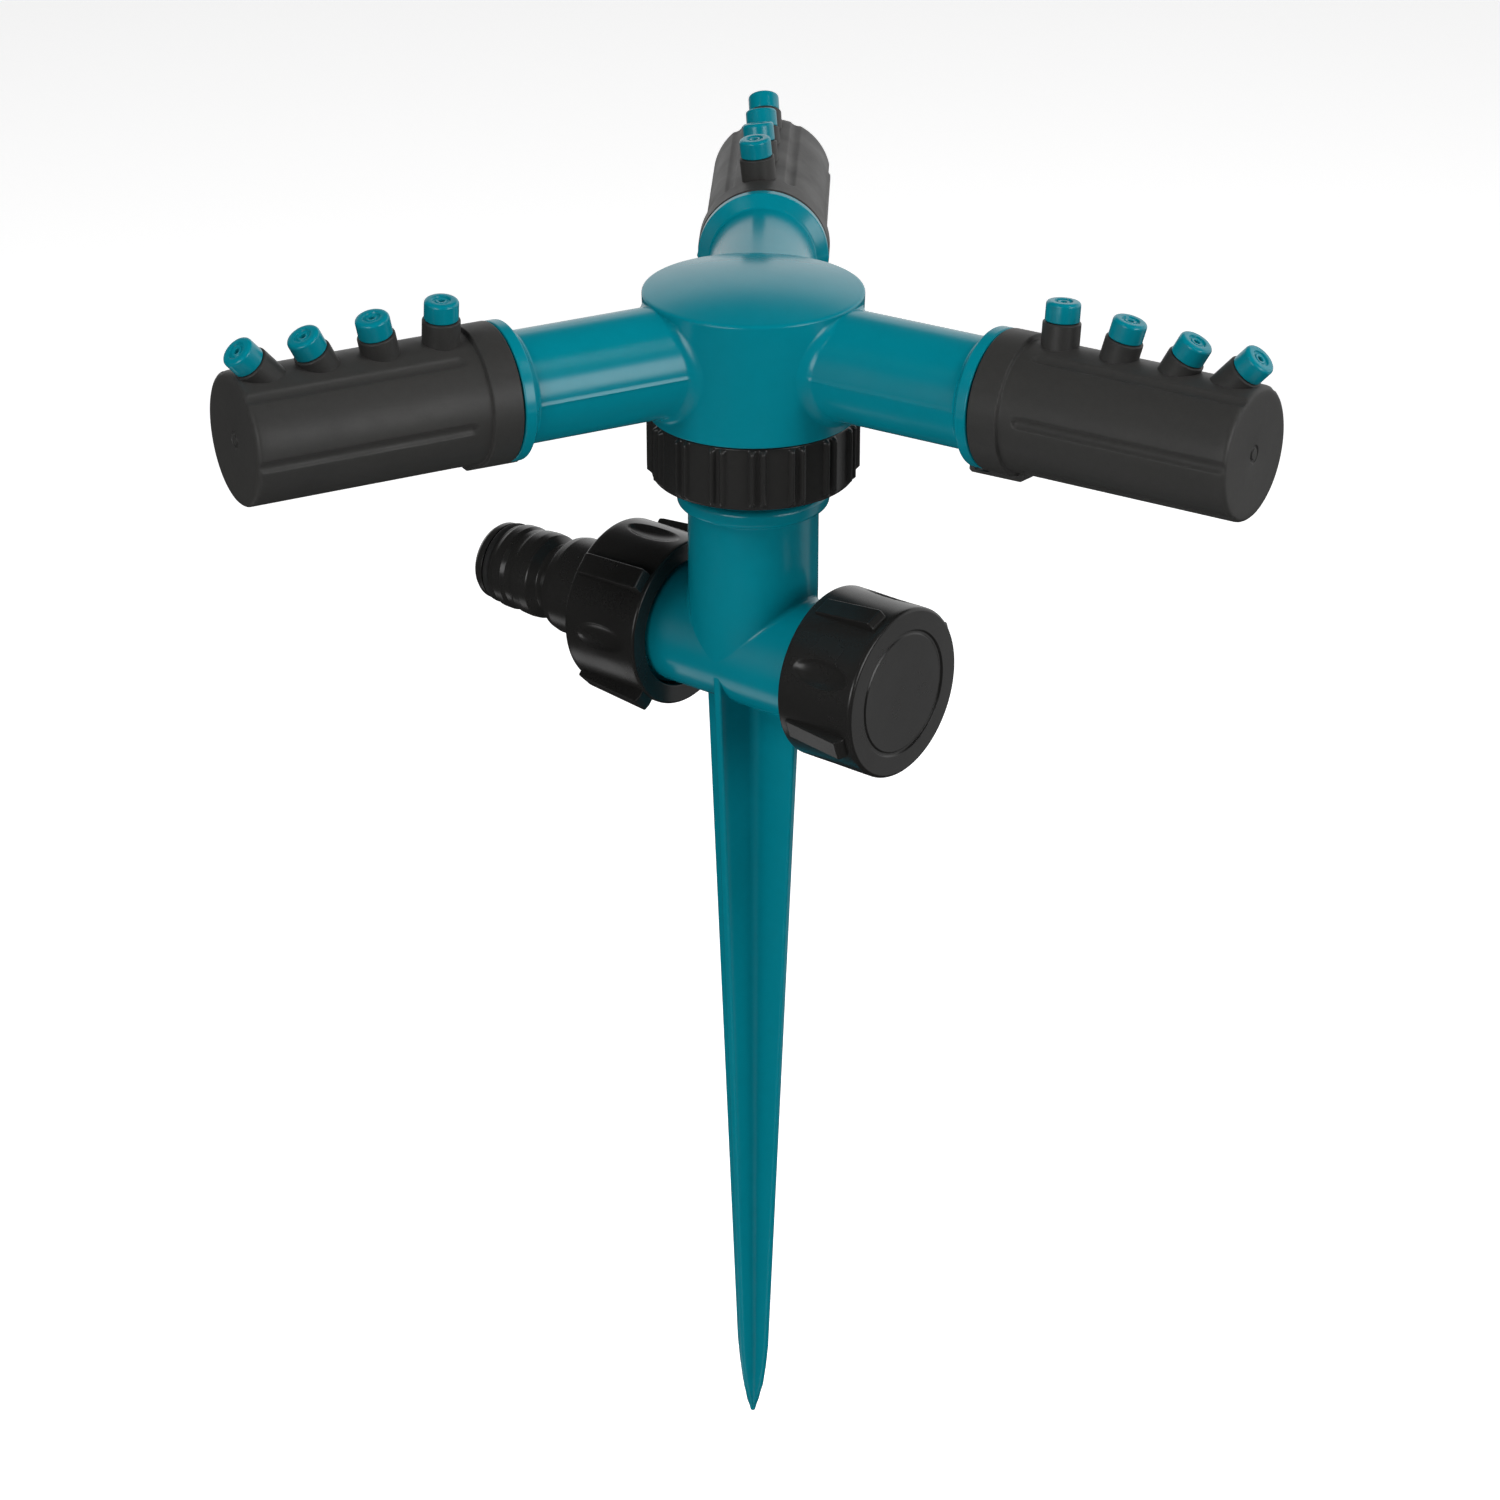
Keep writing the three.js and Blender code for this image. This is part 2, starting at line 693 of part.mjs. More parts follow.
function buildUnionNut() {
  const lip = NUT_END - UNION_LIP;
  const body = turnedX(
    [
      [NIPPLE_NECK_R + RUN_GAP, -NUT_END],
      [CAP_R - 1.4, -NUT_END],
      [CAP_R, -NUT_END + 1.2],
      [CAP_R, -NUT_START - 0.5],
      [CAP_R - 0.4, -NUT_START],
      [MOUTH_R, -NUT_START],
      [MOUTH_R, -lip],
      [NIPPLE_NECK_R + RUN_GAP, -lip],
      [NIPPLE_NECK_R + RUN_GAP, -NUT_END],
    ],
    40,
  );
  const nut = gripped(solid(body), UNION_FIRST_GRIP, -NUT_END + 1.2, -NUT_START - 0.6, [1.3, 2.6]);
  place("union_nut", geometryOf(nut).translate(0, 0, PIPE_Z), BLACK);
}

// ---------------------------------------------------------------- hose nipple, its washer and O-ring
function buildNipple() {
  const flangeOuter = NUT_END - UNION_LIP - SEAT_GAP;
  const flangeInner = flangeOuter - NIPPLE_FLANGE;
  const grooveR = 7.5 - NOSE_ORING_R;
  const grooveHalf = NOSE_ORING_R + SEAT_GAP;
  const profile = [
    [NIPPLE_BORE_R, flangeInner],
    [NIPPLE_FLANGE_R, flangeInner],
    [NIPPLE_FLANGE_R, flangeOuter],
    [NIPPLE_NECK_R, flangeOuter],
    [NIPPLE_NECK_R, 46],
    [9.8, 47.7],
    [7.6, 50.6],
    [7.4, 51.4],
    [8.9, 53.2],
    [9.05, 55],
    [8.9, 57.2],
    [8.5, 58],
    [8.5, 59.4],
    [8.9, 60.4],
    [8.85, 62.4],
    [8.4, 63.4],
    [8.35, NOSE_ORING_AT - grooveHalf],
    [grooveR, NOSE_ORING_AT - grooveHalf],
    [grooveR, NOSE_ORING_AT + grooveHalf],
    [8.25, NOSE_ORING_AT + grooveHalf],
    [8.1, 67.4],
    [7.4, NIPPLE_TIP],
    [NIPPLE_BORE_R, NIPPLE_TIP],
    [NIPPLE_BORE_R, flangeInner],
  ];
  const nipple = turnedX(profile.map(([r, x]) => [r, -x]), 28);
  place("hose_nipple", nipple.translate(0, 0, PIPE_Z), BLACK);
  const oring = toroid(7.5 + SEAT_GAP, NOSE_ORING_R, 18, 5).rotateY(Math.PI / 2);
  place("nose_oring", oring.translate(-NOSE_ORING_AT, 0, PIPE_Z), RUBBER);
  const low = flangeInner - SEAT_GAP - GASKET_THICK;
  const washer = turnedX(ringProfile(NIPPLE_BORE_R + 1.4, MOUTH_R - RUN_GAP, -low - GASKET_THICK, -low), 28);
  place("hose_washer", washer.translate(0, 0, PIPE_Z), RUBBER);
}

buildBase();
buildSwivel();
buildHub();
buildRingNut();
buildBarrels();
buildEndCap();
buildUnionNut();
buildNipple();

export default root;
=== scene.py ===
# %% [markdown]
# # A three-arm lawn sprinkler on a ground spike
# Water comes in at the hose nipple, climbs the riser and leaves through twelve
# small jets. The jets lean a little to one side, so the water pushes the rotor
# round. Nearly every piece is injection-moulded plastic, and nearly every piece
# is round. So most of this lesson draws half of a cross-section and spins it,
# then presses or lays the small features into the spun skin.

# %% Load the frame
import math

import bmesh
import bpy
from mathutils import Matrix, Vector


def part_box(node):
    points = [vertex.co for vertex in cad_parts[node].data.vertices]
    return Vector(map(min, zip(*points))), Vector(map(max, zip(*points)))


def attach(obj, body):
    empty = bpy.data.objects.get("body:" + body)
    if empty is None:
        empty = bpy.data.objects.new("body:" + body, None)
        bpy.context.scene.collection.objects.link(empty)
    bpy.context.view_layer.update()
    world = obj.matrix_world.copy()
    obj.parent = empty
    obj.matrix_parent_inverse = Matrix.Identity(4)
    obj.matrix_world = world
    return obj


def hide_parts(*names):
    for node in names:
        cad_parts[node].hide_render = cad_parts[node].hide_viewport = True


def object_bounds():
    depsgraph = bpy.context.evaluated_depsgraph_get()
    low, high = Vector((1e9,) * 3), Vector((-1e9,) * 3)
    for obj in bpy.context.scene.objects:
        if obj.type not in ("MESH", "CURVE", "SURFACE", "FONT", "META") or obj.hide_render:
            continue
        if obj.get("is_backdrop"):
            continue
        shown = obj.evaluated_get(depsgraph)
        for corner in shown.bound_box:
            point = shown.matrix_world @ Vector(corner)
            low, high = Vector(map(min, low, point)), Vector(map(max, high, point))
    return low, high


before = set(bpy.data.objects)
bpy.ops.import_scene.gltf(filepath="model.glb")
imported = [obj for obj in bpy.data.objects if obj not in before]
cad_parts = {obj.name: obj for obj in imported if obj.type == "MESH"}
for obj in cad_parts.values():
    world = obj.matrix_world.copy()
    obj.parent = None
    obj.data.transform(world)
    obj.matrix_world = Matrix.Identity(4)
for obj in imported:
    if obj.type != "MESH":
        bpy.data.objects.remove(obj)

cad_box = [list(corner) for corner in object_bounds()]
print("CAD box:", cad_box)

# %% [markdown]
# ## Where the axes are
# Every piece turns about one of three kinds of axis: the upright rotor axis, the
# hose pipe, and the three arms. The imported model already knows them. An O-ring
# sits exactly on its arm's axis and the cap's gasket exactly on the pipe's, so
# the middles of their boxes give the heights. Lengths below are in millimetres,
# because that is how such parts are measured, and become metres at the end.

# %% Axes from the frame
MM = 0.001


def middle(node):
    low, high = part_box(node)
    return (Vector(low) + Vector(high)) / 2 / MM


pipe_z = middle("cap_gasket").z
arm_z = middle("arm_oring_a").z
rest_turn = math.atan2(middle("arm_oring_a").y, middle("arm_oring_a").x)
spike_tip_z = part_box("base_body")[0][2] / MM
nozzle_lean = math.radians(6.2)
ARMS = ("a", "b", "c")


def arm_place(index):
    """Takes a piece built along +X, nozzles up, to its arm."""
    turn = Matrix.Rotation(rest_turn + index * math.tau / len(ARMS), 4, "Z")
    return Matrix.Translation((0, 0, arm_z)) @ turn


def barrel_place(index):
    return arm_place(index) @ Matrix.Rotation(-nozzle_lean, 4, "X")


along_x = Matrix.Rotation(math.radians(90), 4, "Y")
on_pipe = Matrix.Translation((0, 0, pipe_z)) @ along_x
print(f"pipe at {pipe_z:.1f}, arms at {arm_z:.1f}, rotor rests at {math.degrees(rest_turn):.1f} degrees")

# %% [markdown]
# ## Camera
# The camera looks down on the sprinkler by about 26 degrees, with the hose
# running away to the left. A longish lens keeps the proportions honest. The
# spike is most of the height, so the aim is near the soil line.

# %% Camera
camera_data = bpy.data.cameras.new("camera")
camera_data.lens = 95.6
camera_data.sensor_width = 36
camera_data.clip_end = 20
camera = bpy.data.objects.new("camera", camera_data)
camera.location = (0.4541, -0.5649, 0.3521)
aim = Vector((-0.0005, -0.0004, -0.0017))
camera.rotation_euler = (aim - camera.location).to_track_quat("-Z", "Y").to_euler()
bpy.context.scene.collection.objects.link(camera)
bpy.context.scene.camera = camera

# %% [markdown]
# ## Studio
# Glossy plastic shows the room more than itself. A vertical wall seen from above
# mirrors what lies low in front of it, and stays deep in colour only if that is
# dark. So the room is dark on the viewer's side and overhead, with a white
# backdrop behind. Soft lights overhead, at the sides and below are kept out of the
# reflections. The other four boxes are what the plastic mirrors: they draw the
# long streak on the left arm, the thin arcs on the hub's edge, the gleam under
# the union nut and the sheen on the cap. Places are given from the viewer's side.

# %% Lights
view_right = Vector((0.7803, 0.6254, 0))
view_toward = Vector((0.6254, -0.7803, 0))


def softbox(name, right, toward, up, size, power, mirrored=True):
    light = bpy.data.lights.new(name, "AREA")
    light.shape = "RECTANGLE"
    light.size, light.size_y = size
    light.energy = power
    lamp = bpy.data.objects.new(name, light)
    lamp.location = view_right * right + view_toward * toward + Vector((0, 0, up))
    lamp.rotation_euler = (Vector((0, 0, 0.03)) - lamp.location).to_track_quat("-Z", "Y").to_euler()
    lamp.visible_glossy = mirrored
    bpy.context.scene.collection.objects.link(lamp)
    return lamp


softbox("overhead_left", -0.6, 0.55, 1.0, (0.4, 0.4), 6.5, mirrored=False)
softbox("overhead_right", 0.7, 0.35, 1.0, (0.4, 0.4), 7.5, mirrored=False)
softbox("side_right", 1.3, 0.2, 0.4, (0.8, 0.8), 3, mirrored=False)
softbox("side_left", -1.3, 0.5, 0.1, (0.8, 0.8), 4.5, mirrored=False)
softbox("bounce_from_below", -0.1, 0.6, -0.95, (1.2, 0.8), 7.5, mirrored=False)
softbox("box_right", 0.77, 0.6, 0.26, (0.55, 0.45), 2.7)
softbox("box_left", -0.5, 0.86, 0.22, (0.5, 0.4), 2.1)
softbox("under_left", -0.63, -0.17, -0.76, (0.4, 0.2), 0.2)
softbox("low_right", 0.87, -0.23, -0.43, (0.4, 0.4), 0.22)

# %% Room


def studio_room(backdrop, dark):
    """A white backdrop behind, from just below eye level to a third of the way overhead."""
    room = bpy.data.worlds.new("studio_room")
    room.use_nodes = True
    tree = room.node_tree
    where = tree.nodes.new("ShaderNodeTexCoord")

    def facing(direction, start, end):
        """0 to 1 as the view of the room swings towards a direction."""
        toward = tree.nodes.new("ShaderNodeVectorMath")
        toward.operation = "DOT_PRODUCT"
        toward.inputs[1].default_value = direction
        tree.links.new(where.outputs["Generated"], toward.inputs[0])
        soft = tree.nodes.new("ShaderNodeMapRange")
        soft.interpolation_type = "SMOOTHSTEP"
        soft.inputs["From Min"].default_value = start
        soft.inputs["From Max"].default_value = end
        tree.links.new(toward.outputs["Value"], soft.inputs["Value"])
        return soft.outputs["Result"]

    def both(first, second):
        node = tree.nodes.new("ShaderNodeMath")
        node.operation = "MULTIPLY"
        tree.links.new(first, node.inputs[0])
        tree.links.new(second, node.inputs[1])
        return node.outputs["Value"]

    behind = facing((-0.25, 0.97, 0), 0.2, 0.65)
    height = both(facing((0, 0, -1), -0.62, -0.4), facing((0, 0, 1), -0.36, -0.14))
    share = both(behind, height)
    tone = tree.nodes.new("ShaderNodeMix")
    tone.data_type = "RGBA"
    tone.inputs["A"].default_value = (dark, dark, dark, 1)
    tone.inputs["B"].default_value = (backdrop, backdrop, backdrop, 1)
    tree.links.new(share, tone.inputs["Factor"])
    tree.links.new(tone.outputs["Result"], tree.nodes["Background"].inputs["Color"])
    return room


bpy.context.scene.world = studio_room(0.88, 0.015)
bpy.context.scene.view_settings.view_transform = "Standard"

# %% Floor
floor_material = bpy.data.materials.new("pale_floor")
floor_material.use_nodes = True
floor_nodes = floor_material.node_tree
floor_shader = floor_nodes.nodes["Principled BSDF"]
floor_shader.inputs["Roughness"].default_value = 0.9
floor_shader.inputs["Emission Color"].default_value = (1, 1, 1, 1)
floor_shader.inputs["Emission Strength"].default_value = 0.62
paper = floor_nodes.nodes.new("ShaderNodeTexNoise")
paper.inputs["Scale"].default_value = 3
paper_tone = floor_nodes.nodes.new("ShaderNodeMix")
paper_tone.data_type = "RGBA"
paper_tone.inputs["A"].default_value = (0.93, 0.93, 0.93, 1)
paper_tone.inputs["B"].default_value = (0.96, 0.96, 0.96, 1)
floor_where = floor_nodes.nodes.new("ShaderNodeTexCoord")
floor_nodes.links.new(floor_where.outputs["Object"], paper.inputs["Vector"])
floor_nodes.links.new(paper.outputs["Fac"], paper_tone.inputs["Factor"])
floor_nodes.links.new(paper_tone.outputs["Result"], floor_shader.inputs["Base Color"])

floor_mesh = bpy.data.meshes.new("floor")
floor_bm = bmesh.new()
bmesh.ops.create_grid(floor_bm, x_segments=1, y_segments=1, size=6)
bmesh.ops.translate(floor_bm, verts=floor_bm.verts, vec=(0, 0, (spike_tip_z - 1.5) * MM))
floor_bm.to_mesh(floor_mesh)
floor_bm.free()
floor = bpy.data.objects.new("floor", floor_mesh)
floor_mesh.materials.append(floor_material)
bpy.context.scene.collection.objects.link(floor)
floor.visible_glossy = False
floor.visible_diffuse = False
floor.visible_shadow = False
floor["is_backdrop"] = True

# %% [markdown]
# ## Moulded plastic and rubber
# Moulded plastic is never one flat colour. The melt leaves a slow drift in tone,
# the tool's surface leaves a fine grain, and handling leaves patches that are a
# little more or less shiny. Each finish below has the same three layers, all on
# Object coordinates: a slow noise for tone, a middling one for roughness and a
# fine one for the grain that bumps the surface.

# %% Finishes


def moulded(name, tone, deep_tone, shine, grain_size, grain_depth, mottle=0.06):
    """tone and deep_tone are linear colours, shine is the roughness, sizes are in millimetres."""
    material = bpy.data.materials.new(name)
    material.use_nodes = True
    tree = material.node_tree
    shader = tree.nodes["Principled BSDF"]
    where = tree.nodes.new("ShaderNodeTexCoord")

    def noise(size, detail, roughness=0.5):
        node = tree.nodes.new("ShaderNodeTexNoise")
        node.inputs["Scale"].default_value = 1000 / size
        node.inputs["Detail"].default_value = detail
        node.inputs["Roughness"].default_value = roughness
        tree.links.new(where.outputs["Object"], node.inputs["Vector"])
        return node.outputs["Fac"]

    drift = tree.nodes.new("ShaderNodeMix")
    drift.data_type = "RGBA"
    drift.inputs["A"].default_value = (*tone, 1)
    drift.inputs["B"].default_value = (*deep_tone, 1)
    tree.links.new(noise(28, 3), drift.inputs["Factor"])
    speck = tree.nodes.new("ShaderNodeMix")
    speck.data_type = "RGBA"
    speck.blend_type = "MULTIPLY"
    speck.inputs["Factor"].default_value = mottle * 4
    speck_tone = tree.nodes.new("ShaderNodeValToRGB")
    speck_tone.color_ramp.elements[0].position = 0.3
    speck_tone.color_ramp.elements[0].color = (0.7, 0.7, 0.7, 1)
    speck_tone.color_ramp.elements[1].position = 0.6
    tree.links.new(noise(grain_size * 3, 4, 0.7), speck_tone.inputs["Fac"])
    tree.links.new(drift.outputs["Result"], speck.inputs["A"])
    tree.links.new(speck_tone.outputs["Color"], speck.inputs["B"])
    tree.links.new(speck.outputs["Result"], shader.inputs["Base Color"])

    handled = tree.nodes.new("ShaderNodeMapRange")
    handled.inputs["From Min"].default_value = 0.3
    handled.inputs["From Max"].default_value = 0.7
    handled.inputs["To Min"].default_value = shine - mottle
    handled.inputs["To Max"].default_value = shine + mottle
    tree.links.new(noise(9, 5, 0.6), handled.inputs["Value"])
    tree.links.new(handled.outputs["Result"], shader.inputs["Roughness"])

    grain = tree.nodes.new("ShaderNodeBump")
    grain.inputs["Strength"].default_value = 1
    grain.inputs["Distance"].default_value = grain_depth * MM
    tree.links.new(noise(grain_size, 4, 0.6), grain.inputs["Height"])
    tree.links.new(grain.outputs["Normal"], shader.inputs["Normal"])
    return material


teal = moulded("teal_plastic_gloss", (0.0002, 0.205, 0.264), (0.0001, 0.192, 0.25), 0.22, 0.9, 0.004, 0.03)
black = moulded(
    "black_plastic_satin", (0.017, 0.0167, 0.016), (0.014, 0.0138, 0.0133), 0.25, 0.5, 0.006, 0.04
)
nut_black = moulded(
    "black_plastic_nut", (0.024, 0.0236, 0.023), (0.02, 0.0197, 0.019), 0.24, 0.6, 0.004, 0.03
)
charcoal = moulded(
    "charcoal_plastic_matt", (0.036, 0.035, 0.033), (0.031, 0.031, 0.0305), 0.46, 0.45, 0.014
)
acetal = moulded("white_acetal", (0.72, 0.7, 0.64), (0.68, 0.66, 0.6), 0.4, 0.6, 0.008)
rubber = moulded("black_rubber", (0.011, 0.011, 0.011), (0.014, 0.014, 0.014), 0.7, 0.35, 0.02)
PLASTIC_IOR = 1.49
CHARCOAL_SHEEN = 0.42
for finish in (teal, black, nut_black, charcoal, acetal):
    finish.node_tree.nodes["Principled BSDF"].inputs["IOR"].default_value = PLASTIC_IOR
charcoal_shader = charcoal.node_tree.nodes["Principled BSDF"]
charcoal_shader.inputs["Specular IOR Level"].default_value = CHARCOAL_SHEEN
print("finishes:", [m.name for m in (teal, black, nut_black, charcoal, acetal, rubber)])

# %% [markdown]
# ## Half a cross-section, with every corner eased
# No moulded edge is truly sharp: it would chip, and the melt wouldn't fill it.
# A corner is given as a radius, a height and how far to round it. The helper
# swaps each corner for a short arc, and the spin turns the outline into a skin.
# The poles on the axis come out as rings of zero size, so they are merged.

# %% Rounding and spinning


def eased(corners, arc_steps=5):
    """Corners of (radius, height, rounding) with each rounding drawn as an arc."""
    outline = []
    for i, (radius, height, rounding) in enumerate(corners):
        here = Vector((radius, height))
        if rounding == 0:
            outline.append(here)
            continue
        before = Vector(corners[i - 1][:2]) - here
        after = Vector(corners[(i + 1) % len(corners)][:2]) - here
        opening = before.angle(after)
        reach = min(rounding / math.tan(opening / 2), before.length * 0.49, after.length * 0.49)
        start = here + before.normalized() * reach
        end = here + after.normalized() * reach
        bisector = (before.normalized() + after.normalized()).normalized()
        centre = here + bisector * reach / math.cos(opening / 2)
        swing = (start - centre).angle_signed(end - centre)
        for step in range(arc_steps + 1):
            spoke = start - centre
            spoke.rotate(Matrix.Rotation(-swing * step / arc_steps, 2))
            outline.append(centre + spoke)
    return outline


def spun(outline, steps, closed=True):
    """A bmesh of the outline turned about +Z."""
    bm = bmesh.new()
    ring = [bm.verts.new((point[0], 0, point[1])) for point in outline]
    edges = [bm.edges.new(pair) for pair in zip(ring, ring[1:])]
    if closed:
        edges.append(bm.edges.new((ring[-1], ring[0])))
    bmesh.ops.spin(
        bm,
        geom=ring + edges,
        cent=(0, 0, 0),
        axis=(0, 0, 1),
        angle=math.tau,
        steps=steps,
        use_merge=True,
    )
    bmesh.ops.remove_doubles(bm, verts=bm.verts, dist=1e-4)
    bmesh.ops.dissolve_degenerate(bm, edges=bm.edges, dist=1e-4)
    bmesh.ops.recalc_face_normals(bm, faces=bm.faces)
    return bm


def moved(bm, place):
    bmesh.ops.transform(bm, matrix=place, verts=bm.verts)
    return bm


def gathered(*parts):
    """Several bmeshes as one."""
    whole = parts[0]
    for part in parts[1:]:
        scratch = bpy.data.meshes.new("scratch")
        part.to_mesh(scratch)
        part.free()
        whole.from_mesh(scratch)
        bpy.data.meshes.remove(scratch)
    return whole


def finished(bm, name, material, slot, body, *nodes, crisp=42):
    """The bmesh as a piece that rides on its body and stands for its nodes."""
    bmesh.ops.scale(bm, vec=(MM, MM, MM), verts=bm.verts)
    mesh = bpy.data.meshes.new(name)
    bm.to_mesh(mesh)
    bm.free()
    mesh.materials.append(material)
    mesh.shade_smooth()
    mesh.set_sharp_from_angle(angle=math.radians(crisp))
    piece = bpy.data.objects.new(name, mesh)
    bpy.context.scene.collection.objects.link(piece)
    flats = piece.modifiers.new("flat_faces_stay_flat", "WEIGHTED_NORMAL")
    flats.keep_sharp = True
    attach(piece, body)
    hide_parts(*nodes)
    print(f"{name}: {len(mesh.polygons)} faces, {[round(d / MM, 1) for d in piece.dimensions]} mm")
    return piece


# %% [markdown]
# ## Base: riser, hose pipe and spike in one moulding
# The riser is a plain tube with a rolled bead near its top. It thins slightly
# towards the hose pipe, so their fronts run into each other. Both are spun. Where
# two tubes cross, a moulder rounds the inside corner. A ball rolled along that
# corner touches both tubes at once, so its centre is known exactly, and the arc
# between the two touching points is the rounded corner's section.

# %% Riser and hose pipe
RISER_R = 12.9
PIPE_R = 12.2
BEAD_R = 15.0
BEAD_LOW, BEAD_HIGH = 52.8, 56.2
RISER_TOP = 58.0
RISER_BORE_R = 8
SPINDLE_SEAT_R, SPINDLE_SEAT = 9.1, 46
PIPE_BORE_R = 9
PIPE_HOSE_END = -26.6
PIPE_CAP_END = 32.4


def riser_radius(z):
    """The riser thins from its full radius to the pipe's, in a smooth curve."""
    t = min(max((z - pipe_z) / 13, 0), 1)
    return PIPE_R - 0.03 + (RISER_R - PIPE_R + 0.03) * math.sin(t * math.pi / 2)


riser_foot = [(riser_radius(z), z, 0) for z in (22, 23.5, 25, 26.5, 28, 29.5, 31, 32.5, 34, 35)]
riser_corners = riser_foot + [
    (RISER_R, BEAD_LOW - 0.3, 0.7),
    (BEAD_R, BEAD_LOW + 0.1, 1.2),
    (BEAD_R, BEAD_HIGH, 1.2),
    (RISER_R, BEAD_HIGH, 0.4),
    (RISER_R, RISER_TOP, 0.5),
    (SPINDLE_SEAT_R, RISER_TOP, 0.3),
    (SPINDLE_SEAT_R, SPINDLE_SEAT, 0.2),
    (RISER_BORE_R, SPINDLE_SEAT, 0.2),
    (RISER_BORE_R, 22, 0),
]
riser = spun(eased(riser_corners), 144)

pipe_corners = [
    (PIPE_BORE_R, PIPE_HOSE_END, 0.4),
    (PIPE_R, PIPE_HOSE_END, 0.6),
    (PIPE_R, PIPE_CAP_END, 0.6),
    (PIPE_BORE_R, PIPE_CAP_END, 0.4),
]
pipe = moved(spun(eased(pipe_corners), 128), on_pipe)

# %% [markdown]
# ## Hose threads
# Both ends of the pipe carry a few turns of hose thread. A small triangle spun
# with a rise makes the ridge: the spin's dvec lifts it a little at every step.

# %% Threads


def thread_ridge(start, turns, pitch=2.2, steps=48):
    """A helical ridge that starts at this height along the pipe, its foot sunk into the wall."""
    bm = bmesh.new()
    foot_r, crest_r, half_width = PIPE_R - 0.15, PIPE_R + 0.7, 0.75
    corners = [(foot_r, start - half_width), (crest_r, start), (foot_r, start + half_width)]
    ring = [bm.verts.new((radius, 0, height)) for radius, height in corners]
    edges = [bm.edges.new((ring[i - 1], ring[i])) for i in range(3)]
    first = bm.faces.new(ring)
    swept = bmesh.ops.spin(
        bm,
        geom=ring + edges,
        cent=(0, 0, 0),
        axis=(0, 0, 1),
        dvec=(0, 0, pitch / steps),
        angle=math.tau * turns,
        steps=steps * turns,
        use_merge=False,
    )
    last = [v for v in swept["geom_last"] if isinstance(v, bmesh.types.BMVert)]
    bm.faces.new(last)
    bmesh.ops.recalc_face_normals(bm, faces=bm.faces)
    return bm


cap_thread = moved(thread_ridge(24.2, 3), on_pipe)
turned_round = Matrix.Rotation(math.pi, 4, "Z")
hose_thread = moved(thread_ridge(18.4, 3), turned_round @ on_pipe)

# %% Rounded corner between riser and pipe


def crossing_fillet(side, ball=1.1, stations=60, arc_steps=6):
    """A closed strip whose outer face is the track of a ball that touches both tubes."""
    bm = bmesh.new()
    rings = []
    widest = PIPE_R + ball
    for station in range(stations + 1):
        y = -widest * math.cos(math.pi * station / stations)
        rise = math.sqrt(max(widest**2 - y**2, 0))
        riser_r = riser_radius(pipe_z + rise)
        out = math.sqrt(max((riser_r + ball) ** 2 - y**2, 0))
        centre = Vector((side * out, y, rise))
        on_riser = Vector((centre.x, centre.y, 0)) * riser_r / (riser_r + ball) + Vector((0, 0, rise))
        touch_pipe = Vector((0, centre.y, centre.z)) * PIPE_R / widest + Vector((centre.x, 0, 0))
        spoke_a, spoke_b = on_riser - centre, touch_pipe - centre
        swing = spoke_a.angle(spoke_b)
        points = []
        for step in range(arc_steps + 1):
            t = step / arc_steps
            if swing < 1e-4:
                points.append(centre + spoke_a)
                continue
            weight_a = math.sin((1 - t) * swing) / math.sin(swing)
            weight_b = math.sin(t * swing) / math.sin(swing)
            points.append(centre + spoke_a * weight_a + spoke_b * weight_b)
        inner = (on_riser + touch_pipe) / 2 - (centre - (on_riser + touch_pipe) / 2) * 0.6
        points.append(inner)
        rings.append([bm.verts.new(p + Vector((0, 0, pipe_z))) for p in points])
    for before, after in zip(rings, rings[1:]):
        for i in range(len(before)):
            bm.faces.new((before[i - 1], before[i], after[i], after[i - 1]))
    bmesh.ops.remove_doubles(bm, verts=bm.verts, dist=1e-4)
    bmesh.ops.dissolve_degenerate(bm, edges=bm.edges, dist=1e-4)
    bmesh.ops.recalc_face_normals(bm, faces=bm.faces)
    return bm


corner_cap_side = crossing_fillet(1)
corner_hose_side = crossing_fillet(-1)

# %% [markdown]
# ## Spike
# Four thin fins meet in a cross with a generous round in each valley, so that
# the spike is stiff and lets go of the mould. The cross is drawn once and then
# extruded down ring by ring. Each ring gets its own width, thickness and
# rounding, and the last few close in to the blunt point.

# %% Spike
FIN_TOP, FIN_LOW = 11.9, 3.9
POINT_HEIGHT = 18.0
point_z = spike_tip_z + POINT_HEIGHT
POINT_SHAPE = ((0, 0.43), (1.5, 0.74), (3.9, 1.44), (7.4, 2.5), (12.6, 3.31), (18, FIN_LOW))


def fin_reach(z):
    """A fin's reach from the axis: a straight taper above, and a table of widths for the point."""
    if z >= point_z:
        return FIN_LOW + (FIN_TOP - FIN_LOW) * (z - point_z) / (pipe_z - point_z)
    above = z - spike_tip_z
    for (low, narrow), (high, wide) in zip(POINT_SHAPE, POINT_SHAPE[1:]):
        if above <= high:
            return narrow + (wide - narrow) * (above - low) / (high - low)
    return FIN_LOW


